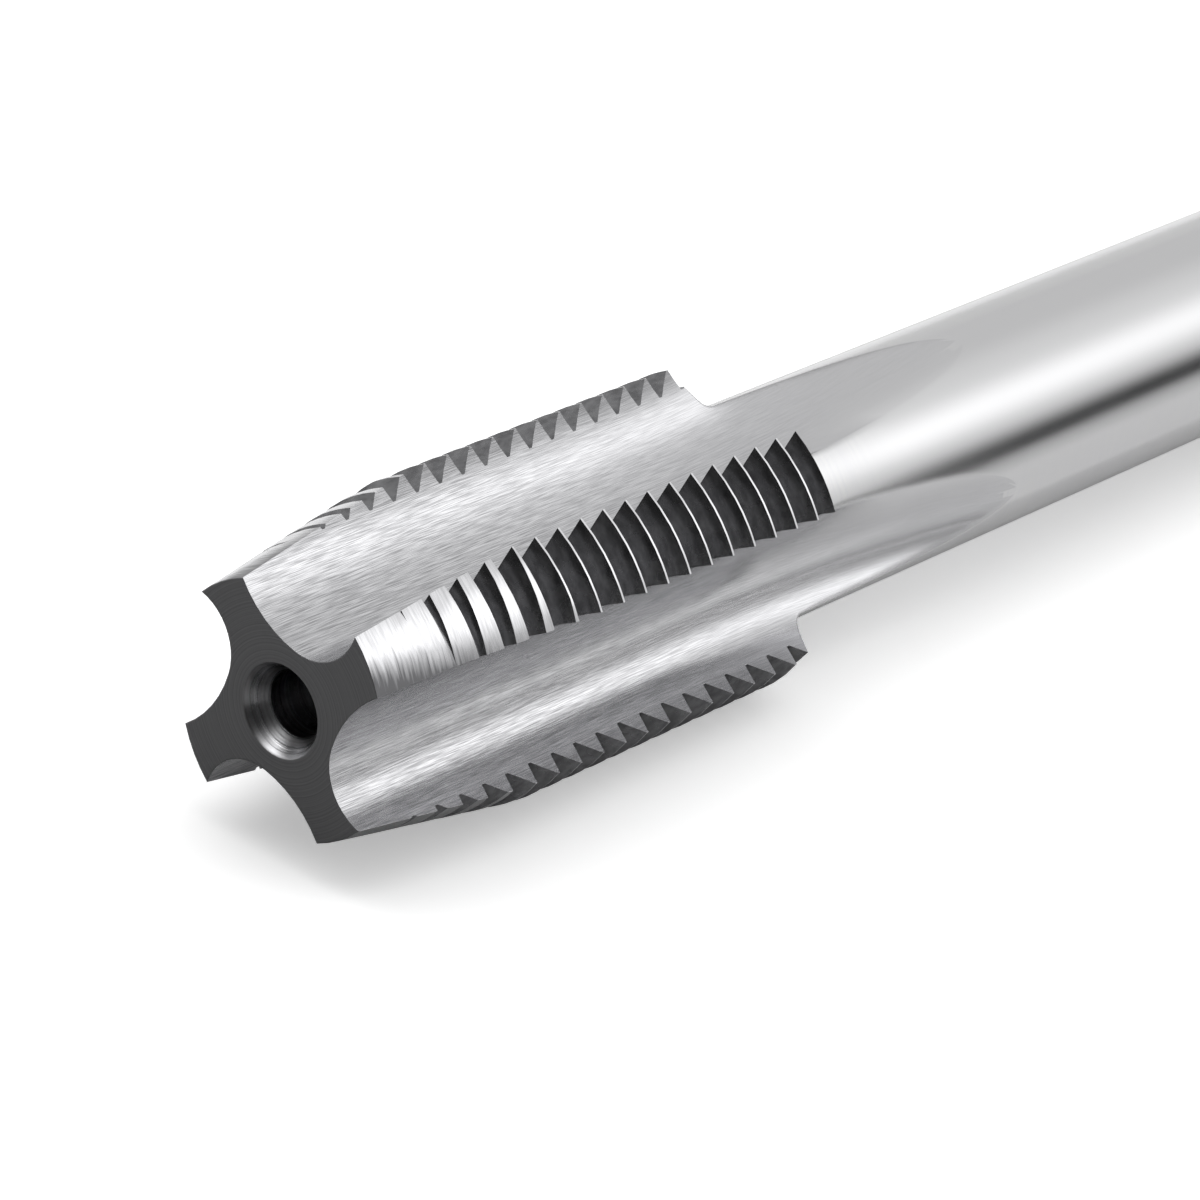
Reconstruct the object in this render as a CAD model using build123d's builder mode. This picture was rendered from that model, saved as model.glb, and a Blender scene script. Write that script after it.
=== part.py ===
from build123d import *
import os
from math import acos, atan, cos, degrees, radians, sin, sqrt, tan

# A straight-flute hand tap for the fine thread M10 x 1, turned and ground from one bar.
# Lengths are in millimetres and angles in degrees. The tap lies along X, its cutting tip
# towards -X, on two of its lands and on the back edge of its round shank.

# Thread
thread_diameter = 10.0
thread_pitch = 1.0
thread_angle = 60.0  # between the flanks of one groove
crest_flat = 0.07
root_flat = 0.11
thread_length = 19.15  # front face to the start of the shoulder
thread_start = 0.7  # front face to the first groove, on the first land's cutting edge

# Lead: the tapered teeth that start the cut
point_diameter = 8.2  # over the cutting edges at the front face
lead_length = 6.0  # front face to the first full tooth
relief_shift = 0.42  # the grinding centre's offset, which lowers the heel of each tooth

# Flutes
flute_count = 4
land_angle = 31.0  # at full diameter
rake_angle = 19.6
core_diameter = 4.04
hook_radius = 1.73  # under the cutting edge
back_radius = 3.58  # up to the heel of the land before
flute_length = 15.4  # front face to where the grinding wheel starts to lift out
wheel_radius = 75.0

# Shoulder, shank and driving square
overall_length = 90.0
shoulder_angle = 54.0  # from the axis
shoulder_radius = 0.6
crest_radius = 0.25  # where the last teeth turn down into the shoulder
shank_diameter = 7.0
square_size = 5.5  # across flats
square_length = 8.0
end_chamfer = 0.5

# Centre holes, each with a cone for the grinding centre and a drilled pilot
centre_angle = 60.0
drill_point_angle = 118.0
front_rim_diameter = 2.82
front_pilot_diameter = 2.0
front_pilot_depth = 4.5
back_rim_diameter = 2.5
back_pilot_diameter = 1.25
back_pilot_depth = 3.0

overrun = 1.0  # how far a cutter runs past the metal

thread_radius = thread_diameter / 2
shank_radius = shank_diameter / 2
core_radius = core_diameter / 2
half_land = land_angle / 2
flute_pitch = 360 / flute_count
round_length = overall_length - square_length

# The lands either side of the lowest flute carry the front, and the shank's edge the back.
land_drop = thread_radius * cos(radians(flute_pitch / 2 - half_land))
rest_tilt = atan((land_drop - shank_radius) / (round_length - thread_length))
tap_direction = Vector(cos(rest_tilt), 0, -sin(rest_tilt))
tip_height = thread_length * sin(rest_tilt) + land_drop * cos(rest_tilt)
tip = Vector(-overall_length / 2 * cos(rest_tilt), 0, tip_height)
tail = tip + tap_direction * overall_length
tap_axis = Axis(tip, tap_direction)
first_land_turn = 90 + flute_pitch / 2


def section(distance, angle):
    """Give the plane across the axis at a distance from the tip, its local X turned to an angle.

    The plane faces the shank. Angle 0 is the middle of the first land, and angles grow the way
    that a right-hand thread turns. Half a flute pitch from a land, a flute lies straight down.
    """
    across = Vector(0, 1, 0).rotate(Axis((0, 0, 0), tap_direction), first_land_turn + angle)
    return Plane(tip + tap_direction * distance, x_dir=across, z_dir=tap_direction)


def lengthwise(middle, angle):
    """Give the plane through a point and the axis direction: local X along, local Y outwards."""
    outwards = section(0, angle).x_dir
    return Plane(middle, x_dir=tap_direction, z_dir=tap_direction.cross(outwards))


def polar(radius, angle):
    """Give a point across the axis by its radius and angle."""
    return Vector(radius, 0).rotate(Axis.Z, angle)


# Thread groove: a trapezium swept along a short helix, enough to cross one land
flank_slope = tan(radians(thread_angle / 2))
thread_depth = (thread_pitch - crest_flat - root_flat) / 2 / flank_slope
root_radius = thread_radius - thread_depth
groove_top = thread_radius + 0.7 * crest_flat / 2 / flank_slope  # short of the next groove
half_groove = root_flat / 2 + (groove_top - root_radius) * flank_slope
groove_angle = land_angle + 14  # past both edges of the land

with BuildLine() as groove_path:
    Helix(thread_pitch, thread_pitch * groove_angle / 360, root_radius)

with BuildPart() as groove:
    with BuildSketch(Plane.XZ):
        Polygon(
            (root_radius, -root_flat / 2),
            (groove_top, -half_groove),
            (groove_top, half_groove),
            (root_radius, root_flat / 2),
            align=None,
        )
    sweep(path=groove_path.line, is_frenet=True)

# On each cutting edge the grooves are a pitch apart, and the helix carries them on to the next.
edge_to_start = thread_pitch * (groove_angle - land_angle) / 2 / 360
grooves = []
for land in range(flute_count):
    land_middle = land * flute_pitch
    distance = thread_start + thread_pitch * land / flute_count - edge_to_start
    while distance < thread_length + thread_pitch:
        start = section(distance, land_middle - groove_angle / 2)
        grooves.append(start.from_local_coords(groove.part))
        distance += thread_pitch

# Flute outline between the heel of one land and the cutting edge of the next. The cutting face
# runs straight into the hook, which touches the core, and the back sweeps up to the heel.
heel = polar(thread_radius, half_land)
edge = polar(thread_radius, flute_pitch - half_land)
face_direction = polar(1, flute_pitch - half_land + 180 - rake_angle)
hook_offset = edge + face_direction.rotate(Axis.Z, 90) * hook_radius
inwards = -hook_offset.dot(face_direction)
hook_reach = core_radius + hook_radius
face_length = inwards - sqrt(inwards**2 - hook_offset.length**2 + hook_reach**2)
hook_start = edge + face_direction * face_length
hook_centre = hook_offset + face_direction * face_length

# The back's arc holds the hook's arc inside it and ends on the heel.
to_heel = heel - hook_centre
centre_gap = back_radius - hook_radius
along = (to_heel.length**2 + centre_gap**2 - back_radius**2) / 2 / to_heel.length
across = sqrt(centre_gap**2 - along**2)
heel_direction = to_heel.normalized()
back_centre = hook_centre + heel_direction * along + heel_direction.rotate(Axis.Z, 90) * across
hook_end = hook_centre + (hook_centre - back_centre).normalized() * hook_radius
outside = thread_radius + overrun
lift_height = shank_radius + overrun - core_radius
lift_angle = degrees(acos(1 - lift_height / wheel_radius))

# The relief cone runs through the lead's cutting edges, round a centre shifted off the axis.
lead_slope = (thread_radius - point_diameter / 2) / lead_length
relief_start = point_diameter / 2 - relief_shift * sin(radians(half_land))
relief_top = thread_radius + relief_shift + overrun

shoulder_length = (thread_radius - shank_radius) / tan(radians(shoulder_angle))
shoulder_end = thread_length + shoulder_length

with BuildPart() as tap:
    # Blank: one turned profile, whose seam falls in a flute
    with BuildSketch(lengthwise(tip, flute_pitch / 2)) as profile:
        Polygon(
            (0, 0),
            (0, thread_radius),
            (thread_length, thread_radius),
            (shoulder_end, shank_radius),
            (overall_length - end_chamfer, shank_radius),
            (overall_length, shank_radius - end_chamfer),
            (overall_length, 0),
            align=None,
        )
        inner_corner = profile.vertices().sort_by_distance((shoulder_end, shank_radius))[0]
        fillet(inner_corner, shoulder_radius)
        outer_corner = profile.vertices().sort_by_distance((thread_length, thread_radius))[0]
        fillet(outer_corner, crest_radius)
    revolve(axis=tap_axis)

    # Centre holes
    for mouth, rim_diameter, pilot_diameter, pilot_depth in (
        (lengthwise(tip, flute_pitch / 2), front_rim_diameter, front_pilot_diameter, front_pilot_depth),
        (
            Plane(tail, x_dir=-tap_direction, z_dir=(0, 1, 0)),
            back_rim_diameter,
            back_pilot_diameter,
            back_pilot_depth,
        ),
    ):
        cone_depth = (rim_diameter - pilot_diameter) / 2 / tan(radians(centre_angle / 2))
        point_depth = pilot_diameter / 2 / tan(radians(drill_point_angle / 2))
        with BuildSketch(mouth):
            Polygon(
                (0, 0),
                (0, rim_diameter / 2),
                (cone_depth, pilot_diameter / 2),
                (pilot_depth, pilot_diameter / 2),
                (pilot_depth + point_depth, 0),
                align=None,
            )
        revolve(axis=tap_axis, mode=Mode.SUBTRACT)

    # Driving square, with its flats level and upright as the tap lies
    with BuildSketch(section(round_length, flute_pitch / 2)):
        Circle(shank_radius + overrun)
        Rectangle(square_size, square_size, mode=Mode.SUBTRACT)
    extrude(amount=square_length + overrun, mode=Mode.SUBTRACT)

    # Lead, relieved behind each cutting edge
    for land in range(flute_count):
        land_middle = land * flute_pitch
        relief_centre = section(0, land_middle - 90).from_local_coords((relief_shift, 0, 0))
        with BuildSketch(lengthwise(relief_centre, land_middle - flute_pitch / 2)):
            Polygon(
                (-overrun, relief_start - lead_slope * overrun),
                ((relief_top - relief_start) / lead_slope, relief_top),
                (-overrun, relief_top),
                align=None,
            )
        relief_axis = Axis(relief_centre, tap_direction)
        revolve(axis=relief_axis, revolution_arc=flute_pitch, mode=Mode.SUBTRACT)

    # Flutes, ground straight along the thread and lifted out of the shank by the wheel's curve
    for flute in range(flute_count):
        lift_plane = section(flute_length, flute * flute_pitch)
        with BuildSketch(lift_plane) as outline:
            with BuildLine():
                Line(polar(outside, flute_pitch - half_land), edge)
                Line(edge, hook_start)
                RadiusArc(hook_start, hook_end, -hook_radius)
                RadiusArc(hook_end, heel, -back_radius)
                Line(heel, polar(outside, half_land))
                ThreePointArc(
                    polar(outside, half_land),
                    polar(outside, flute_pitch / 2),
                    polar(outside, flute_pitch - half_land),
                )
            make_face()
        extrude(amount=-flute_length - overrun, mode=Mode.SUBTRACT)
        wheel_plane = section(flute_length, (flute + 0.5) * flute_pitch)
        wheel_centre = wheel_plane.from_local_coords((core_radius + wheel_radius, 0, 0))
        wheel_axis = Axis(wheel_centre, wheel_plane.y_dir)
        revolve(outline.sketch, axis=wheel_axis, revolution_arc=lift_angle, mode=Mode.SUBTRACT)

    # Thread
    add(grooves, mode=Mode.SUBTRACT)

tap.part.label = "tap"
os.makedirs("parts", exist_ok=True)
export_step(tap.part, "parts/tap.step")
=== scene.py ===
# Thread tap for M10 x 1, ground from one bar of high-speed steel and laid on a white table.
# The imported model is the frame. Sizes in the dictionaries are in millimetres, the scene is in metres.
import math

import bmesh
import bpy
from mathutils import Matrix, Vector


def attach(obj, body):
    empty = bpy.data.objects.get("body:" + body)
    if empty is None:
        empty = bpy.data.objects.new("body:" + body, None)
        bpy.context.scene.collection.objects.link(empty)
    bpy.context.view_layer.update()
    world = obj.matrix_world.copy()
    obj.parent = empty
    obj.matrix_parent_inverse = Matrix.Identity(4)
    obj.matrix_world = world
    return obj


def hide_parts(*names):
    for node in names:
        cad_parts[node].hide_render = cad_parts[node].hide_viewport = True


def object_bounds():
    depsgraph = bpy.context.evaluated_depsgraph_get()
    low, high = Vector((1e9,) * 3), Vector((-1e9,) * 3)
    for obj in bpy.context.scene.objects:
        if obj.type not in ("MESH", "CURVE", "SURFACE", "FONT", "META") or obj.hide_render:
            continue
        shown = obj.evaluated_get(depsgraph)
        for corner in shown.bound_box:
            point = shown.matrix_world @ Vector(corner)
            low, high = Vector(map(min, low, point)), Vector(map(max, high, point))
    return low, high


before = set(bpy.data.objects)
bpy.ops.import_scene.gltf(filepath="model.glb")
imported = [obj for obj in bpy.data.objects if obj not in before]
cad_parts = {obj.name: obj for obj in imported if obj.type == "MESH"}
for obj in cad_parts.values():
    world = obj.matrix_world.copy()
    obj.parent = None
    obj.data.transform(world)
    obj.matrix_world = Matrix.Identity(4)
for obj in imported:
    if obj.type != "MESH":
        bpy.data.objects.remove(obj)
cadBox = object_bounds()
scene = bpy.context.scene
mm = 0.001
print("frame loaded:", sorted(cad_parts))


def toLinear(hexColour):
    # sRGB hex to the linear colour that Blender's sockets hold
    parts = [int(hexColour[i : i + 2], 16) / 255 for i in (1, 3, 5)]
    return [p / 12.92 if p <= 0.04045 else ((p + 0.055) / 1.055) ** 2.4 for p in parts] + [1.0]


def addNode(tree, kind, settings=None, links=None):
    # settings are node properties or input values, links are inputs fed by another node's output
    node = tree.nodes.new("ShaderNode" + kind)
    for name, value in (settings or {}).items():
        if isinstance(name, str) and hasattr(node, name):
            setattr(node, name, value)
        else:
            node.inputs[name].default_value = value
    for name, source in (links or {}).items():
        tree.links.new(source, node.inputs[name])
    return node


def newMaterial(name):
    material = bpy.data.materials.new(name)
    material.use_nodes = True
    material.node_tree.nodes.clear()
    return material, material.node_tree


# the tap: its own axis runs from the middle of the front face to the back end
tap = {
    "tip": Vector((-44.99587, 0, 4.61089)),
    "axis": Vector((0.9999082, 0, -0.0135513)),
    "threadRadius": 5.0,
    "rootRadius": 4.29,
    "pointRadius": 4.1,  # crest at the front face, where the lead starts
    "leadLength": 6.0,
    "threadEnd": 19.15,
    "lands": 4,
    "holeRadius": 1.45,
    "holeReach": 6.0,  # neither centre hole is this deep
    "fluteEnd": 32.0,
    "squareStart": 81.9,
    "length": 90.0,
    "merge": 0.0002,
    "smoothAngle": 24,
}
tilt = math.asin(-tap["axis"].z)  # turn about Y that takes +X to the axis

# what tells the faces apart: a kind's "From" is its least radius, and its "Up" and "Along" are the
# least that its faces point outwards or along the axis, where 1 is straight
sorting = {
    "endSkin": 0.02,  # an end face lies this near its end, and a hole's faces past half of it
    "shoulder": 0.9,  # the lands' shoulder is over this far past the thread
    "landFrom": 3.75,
    "landUp": 0.93,
    "flankFrom": 4.2,
    "flankAlong": 0.7,
    "flankPast": 0.3,  # the last flank lies up to this far past the thread
    "root": (0.12, 0.05),  # a groove's bottom lies from so far below the root radius to so far above
    "rootDepth": 0.2,  # and only where the crest is this much higher
    "shankFrom": 3.4,
    "shankUp": 0.97,
    "squareBefore": 0.5,  # past this far before the square, what isn't round belongs to it
}


def surfaceOf(face):
    # which tool made this face, told by where it lies on the tap and which way it points
    place = face.calc_center_median() / mm - tap["tip"]
    along = place.dot(tap["axis"])
    outward = place - tap["axis"] * along
    radius = outward.length
    facing = face.normal.dot(tap["axis"])
    lift = face.normal.dot(outward) / max(radius, 1e-6)
    fromEnd = min(along, tap["length"] - along)
    pastThread = along - tap["threadEnd"]
    aboveRoot = radius - tap["rootRadius"]
    if radius < tap["holeRadius"] and sorting["endSkin"] / 2 < fromEnd < tap["holeReach"]:
        return "centreHole"
    if fromEnd < sorting["endSkin"]:
        return "endFace"
    if pastThread < sorting["shoulder"] and radius > sorting["landFrom"]:
        if (abs(facing) > sorting["flankAlong"] and radius > sorting["flankFrom"]
                and pastThread < sorting["flankPast"]):
            return "threadFlank"
        if lift > sorting["landUp"]:
            rise = (tap["threadRadius"] - tap["pointRadius"]) / tap["leadLength"]
            crest = min(tap["threadRadius"], tap["pointRadius"] + rise * along)
            below, above = sorting["root"]
            if -below < aboveRoot < above and crest > tap["rootRadius"] + sorting["rootDepth"]:
                return "threadFlank"
            return "landTop"
    if (pastThread > 0 and along < tap["squareStart"] and lift > sorting["shankUp"]
            and radius > sorting["shankFrom"]):
        return "shank"
    if along > tap["squareStart"] - sorting["squareBefore"]:
        return "square"
    if along < tap["fluteEnd"]:
        return "flute"
    return "shank"


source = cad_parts["tap"].data
mesh = bpy.data.meshes.new("groundTap")
bm = bmesh.new()
bm.from_mesh(source)
bmesh.ops.remove_doubles(bm, verts=bm.verts[:], dist=tap["merge"] * mm)
bmesh.ops.dissolve_degenerate(bm, edges=bm.edges[:], dist=tap["merge"] * mm)
bm.normal_update()
surfaces = ["endFace", "centreHole", "flute", "landTop", "threadFlank", "shank", "square"]
counts = dict.fromkeys(surfaces, 0)
for face in bm.faces:
    kind = surfaceOf(face)
    counts[kind] += 1
    face.material_index = surfaces.index(kind)
    face.smooth = True
for edge in bm.edges:
    edge.smooth = edge.is_manifold and edge.calc_face_angle(0) < math.radians(tap["smoothAngle"])
bm.to_mesh(mesh)
bm.free()
groundTap = bpy.data.objects.new("groundTap", mesh)
scene.collection.objects.link(groundTap)
print("tap:", counts, len(mesh.polygons), "faces")

# steel: one tree for every ground or turned face, told apart by the direction of its marks
grain = {
    "noise": {"Scale": 1.0, "Detail": 2.0, "Roughness": 0.55},
    "roughBetween": (0.3, 0.7),  # broad noise that gives the lower and the higher roughness
    "shadeBetween": (0.35, 0.65),  # fine noise that gives the dark and the light colour
    "fadedRoughness": 0.68,  # share of the roughness left where the marks have died out
    "edgeSamples": 6,
}


def wheelMarks(tree, own, along, wheel):
    # past its start the wheel lifts off on an arc, and its marks rise with it
    start, radius = wheel
    past = addNode(tree, "Math", {"operation": "SUBTRACT", 1: start * mm}, {0: along}).outputs[0]
    past = addNode(tree, "Math", {"operation": "MAXIMUM", 1: 0.0}, {0: past}).outputs[0]
    squared = addNode(tree, "Math", {"operation": "MULTIPLY"}, {0: past, 1: past}).outputs[0]
    folded = addNode(tree, "VectorMath", {"operation": "ABSOLUTE"}, {0: own}).outputs[0]
    folded = addNode(tree, "SeparateXYZ", links={0: folded}).outputs
    sides = {0: folded["Y"], 1: folded["Z"]}
    deep = addNode(tree, "Math", {"operation": "MAXIMUM"}, sides).outputs[0]
    wide = addNode(tree, "Math", {"operation": "MINIMUM"}, sides).outputs[0]
    deep = addNode(tree, "Math", {"operation": "MULTIPLY_ADD", 1: -0.5 / (radius * mm)},
                   {0: squared, 2: deep}).outputs[0]
    return addNode(tree, "CombineXYZ", links={"X": along, "Y": deep, "Z": wide}).outputs[0]


def polishShare(tree, along, radial, blend):
    # how far the run-out is polished over: more along the tap and up its round, less on the far side
    sides = addNode(tree, "SeparateXYZ", links={0: radial}).outputs
    low, high = blend["height"]
    upper = addNode(tree, "MapRange", {"From Min": low, "From Max": high},
                    {"Value": sides["Z"]}).outputs[0]
    start, end = blend["along"]
    past = addNode(tree, "MapRange", {"From Min": start * mm, "From Max": end * mm,
                                      "To Max": blend["most"]}, {"Value": along}).outputs[0]
    near, far = blend["side"]
    nearer = addNode(tree, "MapRange", {"From Min": near, "From Max": far, "To Min": 1.0,
                                        "To Max": blend["far"]}, {"Value": sides["Y"]}).outputs[0]
    share = addNode(tree, "Math", {"operation": "MULTIPLY"}, {0: upper, 1: past}).outputs[0]
    return addNode(tree, "Math", {"operation": "MULTIPLY"}, {0: share, 1: nearer}).outputs[0]


def blendedNormal(tree, normal, radial, share):
    # turns the normal towards the one that the round shank would have there
    tilted = addNode(tree, "Mapping", {"vector_type": "VECTOR", "Rotation": (0, tilt, 0)},
                     {"Vector": radial}).outputs[0]
    outward = addNode(tree, "VectorTransform", {"vector_type": "NORMAL", "convert_from": "OBJECT",
                                                "convert_to": "WORLD"}, {0: tilted}).outputs[0]
    mixed = addNode(tree, "Mix", {"data_type": "VECTOR"}, {0: share, 4: normal, 5: outward})
    return addNode(tree, "VectorMath", {"operation": "NORMALIZE"}, {0: mixed.outputs[1]}).outputs[0]


def heelShadeMask(tree, parts, fine, heel):
    # painted shade on the lead's heels: from one angle in every quarter, which drifts by so many
    # degrees a millimetre, over a width in degrees, with a ragged border
    angle = addNode(tree, "Math", {"operation": "ARCTAN2"}, {0: parts["Z"], 1: parts["Y"]}).outputs[0]
    phase = addNode(tree, "Math", {"operation": "FLOORED_MODULO", 1: math.radians(360 / tap["lands"])},
                    {0: angle}).outputs[0]
    slant = -math.radians(heel["drift"]) / mm
    drifting = addNode(tree, "Math", {"operation": "MULTIPLY_ADD", 1: slant},
                       {0: parts["X"], 2: phase}).outputs[0]
    ragged = addNode(tree, "Math", {"operation": "MULTIPLY_ADD", 1: math.radians(heel["ragged"])},
                     {0: fine, 2: drifting}).outputs[0]
    start = heel["start"] + heel["ragged"] / 2
    return addNode(tree, "MapRange", {"From Min": math.radians(start),
                                      "From Max": math.radians(start + heel["width"])},
                   {"Value": ragged}).outputs[0]


def steelMaterial(name, look):
    # a Mix node's sockets share their names, so they go by number: 0 is the share, 4 and 5 are
    # vectors, 6 and 7 colours, and it gives a vector at 1 and a colour at 2
    material, tree = newMaterial(name)
    place = addNode(tree, "TexCoord").outputs["Object"]
    # the tap's own frame: X along its axis from the front face, still in metres
    own = addNode(tree, "Mapping", {"vector_type": "TEXTURE", "Location": tap["tip"] * mm,
                                    "Rotation": (0, tilt, 0)}, {"Vector": place}).outputs["Vector"]
    parts = addNode(tree, "SeparateXYZ", links={0: own}).outputs
    along = parts["X"]
    if look.get("turned") or look.get("blend"):
        across = addNode(tree, "CombineXYZ", links={"Y": parts["Y"], "Z": parts["Z"]}).outputs[0]
    if look.get("turned"):  # marks run round the axis, so they are read by radius
        radius = addNode(tree, "VectorMath", {"operation": "LENGTH"}, {0: across}).outputs["Value"]
        own = addNode(tree, "CombineXYZ", links={"X": along, "Y": radius}).outputs[0]
    if look.get("wheel"):
        own = wheelMarks(tree, own, along, look["wheel"])
    heights = []
    for layer in look["marks"]:
        scaled = addNode(tree, "Mapping", {"Scale": [1 / (size * mm) for size in layer]},
                         {"Vector": own}).outputs[0]
        noise = addNode(tree, "TexNoise", grain["noise"], {"Vector": scaled})
        heights.append(noise.outputs["Fac"])
    fine, broad = heights

    relief = {"Height": fine}
    if look.get("edge"):  # worn edges: the normal turns over within a radius that grows along the tap
        start, end, small, large = look["edge"]
        radius = addNode(tree, "MapRange", {"From Min": start * mm, "From Max": end * mm,
                                            "To Min": small * mm, "To Max": large * mm},
                         {"Value": along}).outputs[0]
        relief["Normal"] = addNode(tree, "Bevel", {"samples": grain["edgeSamples"]},
                                   {"Radius": radius}).outputs[0]
    if look.get("blend"):  # the run-out's upper side is polished over, so it shades as the shank does
        blend = look["blend"]
        radial = addNode(tree, "VectorMath", {"operation": "NORMALIZE"}, {0: across}).outputs[0]
        polished = polishShare(tree, along, radial, blend)
        relief["Normal"] = blendedNormal(tree, relief["Normal"], radial, polished)

    low, high = grain["roughBetween"]
    smooth, dull = look["roughness"]
    rough = addNode(tree, "MapRange", {"From Min": low, "From Max": high, "To Min": smooth,
                                       "To Max": dull}, {"Value": broad}).outputs[0]
    shading = {"Value": fine}
    if look.get("fade"):  # marks die out along the tap, from the first to the second distance
        start, end, rest = look["fade"]
        fade = addNode(tree, "MapRange", {"From Min": start * mm, "From Max": end * mm, "To Min": 1.0,
                                          "To Max": rest}, {"Value": along}).outputs[0]
        relief["Strength"] = fade
        for socket, half in (("To Min", -0.5), ("To Max", 0.5)):  # both colours move to their middle
            shading[socket] = addNode(tree, "Math", {"operation": "MULTIPLY_ADD", 1: half, 2: 0.5},
                                      {0: fade}).outputs[0]
        polish = addNode(tree, "MapRange", {"From Min": rest, "To Min": grain["fadedRoughness"]},
                         {"Value": fade}).outputs[0]
        rough = addNode(tree, "Math", {"operation": "MULTIPLY"}, {0: rough, 1: polish}).outputs[0]
    low, high = grain["shadeBetween"]
    shade = addNode(tree, "MapRange", {"From Min": low, "From Max": high}, shading).outputs[0]
    colour = addNode(tree, "Mix", {"data_type": "RGBA", 6: toLinear(look["dark"]),
                                   7: toLinear(look["light"])}, {0: shade}).outputs[2]
    normal = addNode(tree, "Bump", {"Strength": 1.0, "Distance": look["depth"] * mm}, relief).outputs[0]

    covers = []
    if look.get("blend"):
        covers.append((blend, polished))
    if look.get("heel"):  # painted shade on the lead's heel
        covers.append((look["heel"], heelShadeMask(tree, parts, fine, look["heel"])))
    for cover, share in covers:
        colour = addNode(tree, "Mix", {"data_type": "RGBA", 7: toLinear(cover["colour"])},
                         {0: share, 6: colour}).outputs[2]
        rough = addNode(tree, "MapRange", {"To Max": cover["roughness"]},
                        {"Value": share, "To Min": rough}).outputs[0]
    shader = addNode(tree, "BsdfPrincipled", {"Metallic": 1.0},
                     {"Base Color": colour, "Roughness": rough, "Normal": normal})
    addNode(tree, "OutputMaterial", links={"Surface": shader.outputs[0]})
    return material


# where the run-out is polished over, from none to most of it: distances along the tap, then height
# and side on its round, where 1 is the top and the +Y side, and the share left on that side
runOut = {
    "along": (20.3, 25),
    "most": 0.92,
    "height": (-0.1, 0.6),
    "side": (-0.3, 0.05),
    "far": 0.5,
    "colour": "#cccccd",
    "roughness": 0.185,
}

# Sizes of the marks are along the axis and twice across it, or in turned steel along the axis,
# outwards and unused. The first layer is fine and gives the relief and the colour, the second is
# broad and gives the roughness. Real grinding marks are about 0.01 wide, too fine to show, so they
# are drawn 2 to 10 times as coarse. Edges are worn to the first radius before one distance and to
# the second past another. A wheel has its start and radius, a fade its start, end and what is left.
steels = {
    # turned before hardening and never reground, with faint rings; its dark grey is painted shade, for
    # the dark side the front end faces
    "endFace": ("turnedShadedSteel", {
        "turned": True, "dark": "#98989a", "light": "#aeaeb0", "roughness": (0.38, 0.5),
        "depth": 0.0012, "edge": (0, 1, 0.08, 0.08),
        "marks": [(9, 0.05, 9), (3, 0.35, 3)]}),
    # drilled and countersunk: bare and oily, with rings and chatter
    "centreHole": ("drilledSteel", {
        "turned": True, "dark": "#a8a8aa", "light": "#d8d8da", "roughness": (0.22, 0.34),
        "depth": 0.009, "edge": (0, 1, 0.08, 0.08),
        "marks": [(0.12, 0.12, 9), (0.4, 0.4, 3)]}),
    # form-ground by a wheel running lengthwise: fine bright streaks that die out where it lifts off
    "flute": ("groundFluteSteel", {
        "dark": "#9a9a9c", "light": "#d8d8da", "roughness": (0.22, 0.28),
        "depth": 0.0032, "edge": (19.6, 21.5, 0.02, 0.3),
        "wheel": (15.4, 75), "fade": (9, 24, 0.12), "blend": runOut,
        "marks": [(0.9, 0.022, 0.022), (5, 0.5, 0.5)]}),
    # relieved by a wheel that crosses the land: fine marks round the tap, and painted shade at the heel
    "landTop": ("reliefGroundSteel", {
        "dark": "#c4c4c6", "light": "#dcdcde", "roughness": (0.14, 0.24),
        "depth": 0.001,
        "heel": {"start": 43.5, "drift": 2.6, "width": 11, "ragged": 22,
                 "colour": "#7a7a7c", "roughness": 0.4},
        "marks": [(0.08, 1.2, 1.2), (0.4, 3, 3)]}),
    # ground by the thread wheel, with fine, close marks round the tap; the darker grey is painted
    # shade, for the dark the flanks mirror
    "threadFlank": ("threadGroundShadedSteel", {
        "dark": "#808082", "light": "#9c9c9e", "roughness": (0.2, 0.32),
        "depth": 0.0008,
        "marks": [(0.1, 0.5, 0.5), (0.8, 0.8, 0.8)]}),
    # centreless ground: smooth, with hardly visible marks round it
    "shank": ("polishedShankSteel", {
        "dark": "#cacacc", "light": "#cecece", "roughness": (0.16, 0.21),
        "depth": 0.00003, "edge": (19.6, 21.5, 0.02, 0.3),
        "blend": runOut,
        "marks": [(0.08, 4, 4), (6, 1.2, 1.2)]}),
    # milled: duller, with marks along the flats
    "square": ("milledSquareSteel", {
        "dark": "#b4b4b6", "light": "#cacacc", "roughness": (0.2, 0.3),
        "depth": 0.002,
        "marks": [(0.9, 0.07, 0.07), (2, 0.8, 0.8)]}),
}
for kind in surfaces:
    name, look = steels[kind]
    mesh.materials.append(steelMaterial(name, look))
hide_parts("tap")
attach(groundTap, "root")
print("materials:", [m.name for m in mesh.materials])

# white paper on the table: it keeps the shadow, shows white to the camera and greyer to the metal
table = {
    "size": 4000,
    "colour": "#f4f4f4",
    "roughness": 0.9,
    "specular": 0.1,
    "lift": 0.4,  # glow that the camera sees
    "mirrored": 0.22,  # share of that glow that the metal sees
}
white = toLinear("#ffffff")
bm = bmesh.new()
bmesh.ops.create_grid(bm, x_segments=2, y_segments=2, size=table["size"] * mm / 2)
tableMesh = bpy.data.meshes.new("tableTop")
bm.to_mesh(tableMesh)
bm.free()
tableTop = bpy.data.objects.new("tableTop", tableMesh)
scene.collection.objects.link(tableTop)
tableTop.location.z = cadBox[0].z
paper, tree = newMaterial("whitePaper")
base = addNode(tree, "BsdfPrincipled", {"Base Color": toLinear(table["colour"]),
                                        "Roughness": table["roughness"],
                                        "Specular IOR Level": table["specular"]})
glow = addNode(tree, "Emission", {"Color": white, "Strength": table["lift"]})
rays = addNode(tree, "LightPath").outputs
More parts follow.
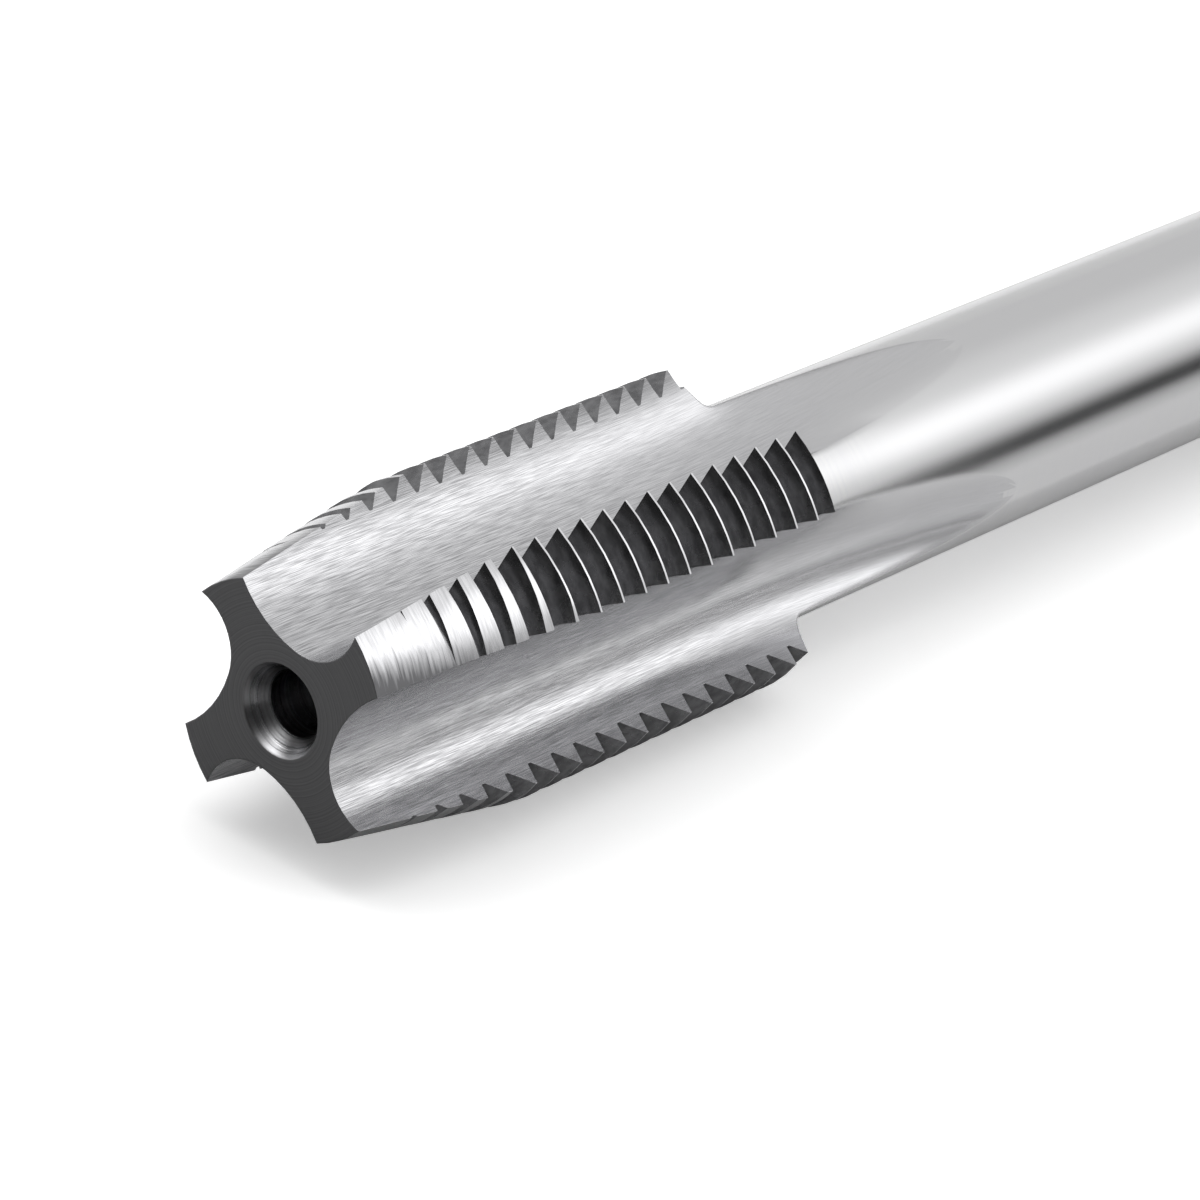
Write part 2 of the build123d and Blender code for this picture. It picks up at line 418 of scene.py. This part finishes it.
mirrored = addNode(tree, "Math", {"operation": "MULTIPLY_ADD", 1: table["mirrored"]},
                   {0: rays["Is Glossy Ray"], 2: rays["Is Camera Ray"]})
seen = addNode(tree, "MixShader", links={0: mirrored.outputs[0], 2: glow.outputs[0]})
both = addNode(tree, "AddShader", links={0: base.outputs[0], 1: seen.outputs[0]})
addNode(tree, "OutputMaterial", links={"Surface": both.outputs[0]})
tableMesh.materials.append(paper)

# studio: a bright wall on one side, a dark room on the other, and softboxes that fade towards
# their edges; each has its heading and height angle, its radiance and its width, angles in degrees
studio = {
    "wall": 30,  # heading of the bright wall
    "middle": 0.45,  # radiance halfway between the wall and the dark room
    "swing": 0.8,
    "limits": (0.035, 0.78),
    "softboxes": {
        "side": (-27, 28, 0.8, 13),
        "left": (-53, 33, 1.5, 14.5),
        "right": (-2, 38, 0.2, 12),
        "top": (110, 62, 2.0, 25),
    },
}


def pointing(heading, rise):
    # direction for a heading from +X towards +Y and a height angle, in degrees
    turn, lift = math.radians(heading), math.radians(rise)
    return Vector((math.cos(turn) * math.cos(lift), math.sin(turn) * math.cos(lift), math.sin(lift)))


world = bpy.data.worlds.new("studio")
scene.world = world
world.use_nodes = True
tree = world.node_tree
tree.nodes.clear()
looking = addNode(tree, "TexCoord").outputs["Generated"]
towards = addNode(tree, "VectorMath", {"operation": "DOT_PRODUCT", 1: pointing(studio["wall"], 0)},
                  {0: looking}).outputs["Value"]
level = addNode(tree, "Math", {"operation": "MULTIPLY_ADD", 1: studio["swing"], 2: studio["middle"]},
                {0: towards}).outputs[0]
level = addNode(tree, "Clamp", {"Min": studio["limits"][0], "Max": studio["limits"][1]},
                {"Value": level}).outputs[0]
for heading, rise, radiance, width in studio["softboxes"].values():
    sharpness = 2 / math.radians(width) ** 2
    towards = addNode(tree, "VectorMath", {"operation": "DOT_PRODUCT", 1: pointing(heading, rise)},
                      {0: looking}).outputs["Value"]
    falling = addNode(tree, "Math", {"operation": "MULTIPLY_ADD", 1: sharpness, 2: -sharpness},
                      {0: towards}).outputs[0]
    lobe = addNode(tree, "Math", {"operation": "EXPONENT"}, {0: falling}).outputs[0]
    level = addNode(tree, "Math", {"operation": "MULTIPLY_ADD", 1: radiance},
                    {0: lobe, 2: level}).outputs[0]
room = addNode(tree, "Background", {"Color": white}, {"Strength": level})
backdrop = addNode(tree, "Background", {"Color": white, "Strength": 1.0})
rays = addNode(tree, "LightPath").outputs
mixed = addNode(tree, "MixShader", links={0: rays["Is Camera Ray"], 1: room.outputs[0],
                                          2: backdrop.outputs[0]})
addNode(tree, "OutputWorld", links={"Surface": mixed.outputs[0]})

# a large box overhead lights the table for the soft shadow; the metal doesn't mirror it
lamp = {"place": (120, -60, 700), "size": 700, "radiance": 0.9}
lampData = bpy.data.lights.new("overheadBox", "AREA")
lampData.shape = "SQUARE"
lampData.size = lamp["size"] * mm
lampData.energy = lamp["radiance"] * math.pi * lampData.size**2
overheadBox = bpy.data.objects.new("overheadBox", lampData)
scene.collection.objects.link(overheadBox)
overheadBox.location = Vector(lamp["place"]) * mm
overheadBox.rotation_euler = overheadBox.location.to_track_quat("Z", "Y").to_euler()
overheadBox.visible_camera = overheadBox.visible_glossy = False

# dark felt cards that only the metal sees, each fading in from the first to the second value along one
# axis: one stands low along the tap and draws the dark line on the shank, one greys the table between
# them, one lies before the front end and keeps the front faces dark, and one lies under the lead as a
# painted shadow, standing in for the tap's own shadow that the metal mirrors
cards = {
    "standingCard": {"low": (26, -45, 0), "high": (260, -45, 22),
                     "fade": ("Z", 20, 7), "cover": 0.98},
    "sideCard": {"low": (-15, -45, 0.05), "high": (260, 0, 0.05),
                 "fade": ("Y", -4, -46), "cover": 0.95},
    "frontCard": {"low": (-500, -400, 0.05), "high": (-44, 300, 0.05),
                  "fade": ("X", -44.5, -46), "cover": 0.83},
    "underShadowCard": {"low": (-46.5, -8, 0.1), "high": (-22, 4, 0.1),
                  "fade": ("Y", -8, -5), "cover": 0.5},
}
feltBlack = (0.01, 0.01, 0.01, 1)  # linear, about #191919
for name, card in cards.items():
    low, high = Vector(card["low"]) * mm, Vector(card["high"]) * mm
    bm = bmesh.new()
    bmesh.ops.create_grid(bm, x_segments=1, y_segments=1, size=0.5)
    if low.y == high.y:
        bmesh.ops.rotate(bm, matrix=Matrix.Rotation(math.pi / 2, 3, "X"), verts=bm.verts[:])
    bmesh.ops.scale(bm, vec=high - low, verts=bm.verts[:])
    bmesh.ops.translate(bm, vec=(low + high) / 2, verts=bm.verts[:])
    cardMesh = bpy.data.meshes.new(name)
    bm.to_mesh(cardMesh)
    bm.free()
    cardObject = bpy.data.objects.new(name, cardMesh)
    scene.collection.objects.link(cardObject)
    cardObject.location.z = cadBox[0].z
    felt, tree = newMaterial(name + "Felt")
    axis, start, end = card["fade"]
    place = addNode(tree, "SeparateXYZ", links={0: addNode(tree, "TexCoord").outputs["Object"]})
    cover = addNode(tree, "MapRange", {"From Min": start * mm, "From Max": end * mm,
                                       "To Max": card["cover"]}, {"Value": place.outputs[axis]})
    clear = addNode(tree, "BsdfTransparent")
    black = addNode(tree, "BsdfDiffuse", {"Color": feltBlack})
    mixed = addNode(tree, "MixShader", links={0: cover.outputs[0], 1: clear.outputs[0],
                                              2: black.outputs[0]})
    addNode(tree, "OutputMaterial", links={"Surface": mixed.outputs[0]})
    cardMesh.materials.append(felt)
    cardObject.visible_camera = cardObject.visible_shadow = cardObject.visible_diffuse = False
print("studio: table, lamp and", len(cards), "cards")

# camera: long lens, looking down past the front end
cameraLook = {
    "place": (-151.678, -88.082, 81.409),
    "right": (0.637492, -0.759433, 0.129866),
    "up": (0.282897, 0.387509, 0.877386),
    "back": (-0.716641, -0.522588, 0.461875),
    "lens": 171.308,
    "sensor": 36,
    "clip": (1, 5000),
}
cameraData = bpy.data.cameras.new("camera")
cameraData.lens, cameraData.sensor_width = cameraLook["lens"], cameraLook["sensor"]
cameraData.clip_start, cameraData.clip_end = [distance * mm for distance in cameraLook["clip"]]
camera = bpy.data.objects.new("camera", cameraData)
scene.collection.objects.link(camera)
camera.matrix_world = Matrix.Translation(Vector(cameraLook["place"]) * mm) @ Matrix(
    (cameraLook["right"], cameraLook["up"], cameraLook["back"])
).transposed().to_4x4()
scene.camera = camera
scene.view_settings.view_transform = "Standard"
print("camera placed")
